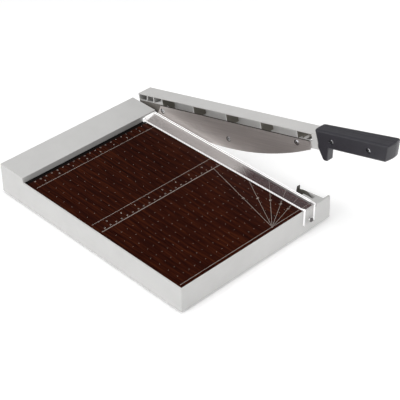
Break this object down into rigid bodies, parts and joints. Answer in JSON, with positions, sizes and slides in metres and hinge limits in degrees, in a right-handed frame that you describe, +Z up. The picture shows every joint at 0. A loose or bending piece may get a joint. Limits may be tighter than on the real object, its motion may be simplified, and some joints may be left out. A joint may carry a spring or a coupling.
{
  "type": "guillotine paper cutter",
  "caption": "Desktop guillotine paper cutter with a woodgrain bed, ruled edges, a clear finger guard and a raised cutting arm with a dark handle and a safety latch.",
  "frame": {"origin": "middle of the underside, on the surface it stands on, with the arm raised as stored", "axes": "+Z up, +Y from the handle end towards the pivot end, +X towards the cutting side"},
  "size_m": [0.2862, 0.477, 0.191],
  "materials": {
    "base_paint": "light grey baked enamel, satin",
    "arm_paint": "light grey baked enamel over a casting, satin",
    "bed_laminate": "dark brown woodgrain laminate, glossy, with printed white rules",
    "ledger_steel": "ground steel",
    "blade_steel": "brushed steel with a ground bevel",
    "clear_guard": "clear acrylic",
    "screw_steel": "zinc plated, bright",
    "pivot_steel": "zinc plated",
    "bronze": "sintered bronze",
    "handle_plastic": "dark grey moulded plastic, fine texture",
    "latch_plastic": "dark grey moulded plastic",
    "foot_rubber": "black rubber"
  },
  "bodies": {
    "base": {"base_shell": "base_paint", "cross_bar_1": "base_paint", "cross_bar_2": "base_paint", "bed_board": "bed_laminate", "ledger_blade": "ledger_steel", "ledger_screw_1": "screw_steel", "ledger_screw_2": "screw_steel", "ledger_screw_3": "screw_steel", "ledger_screw_4": "screw_steel", "guard_strip": "clear_guard", "guard_screw": "screw_steel", "foot_1": "foot_rubber", "foot_screw_1": "screw_steel", "foot_2": "foot_rubber", "foot_screw_2": "screw_steel", "foot_3": "foot_rubber", "foot_screw_3": "screw_steel", "foot_4": "foot_rubber", "foot_screw_4": "screw_steel", "pivot_bolt": "pivot_steel", "pivot_head_washer": "pivot_steel", "pivot_wall_washer": "pivot_steel", "pivot_nut_washer": "pivot_steel", "pivot_lock_nut": "pivot_steel", "pivot_spring": "pivot_steel", "latch_pin": "pivot_steel", "pivot_spacer": "bronze", "latch_bracket": "base_paint", "bracket_screw_1": "screw_steel", "bracket_screw_2": "screw_steel"},
    "arm": {"arm_casting": "arm_paint", "pivot_bush": "bronze", "cutting_blade": "blade_steel", "blade_screw_1": "screw_steel", "blade_screw_2": "screw_steel", "blade_screw_3": "screw_steel", "catch_pin": "pivot_steel", "handle_left_shell": "handle_plastic", "handle_right_shell": "handle_plastic", "handle_screw_1": "screw_steel", "handle_screw_2": "screw_steel"},
    "latch": {"latch_hook": "latch_plastic"}
  },
  "joints": [
    {"name": "arm_pivot", "type": "hinge", "parent": "base", "child": "arm", "pos_m": [0.12195, 0.2081, 0.0333], "axis": [-1, 0, 0], "range_deg": [-14.7, 50]},
    {"name": "latch_pivot", "type": "hinge", "parent": "base", "child": "latch", "pos_m": [0.12285, -0.1044, 0.0323], "axis": [1, 0, 0], "range_deg": [0, 85]}
  ]
}
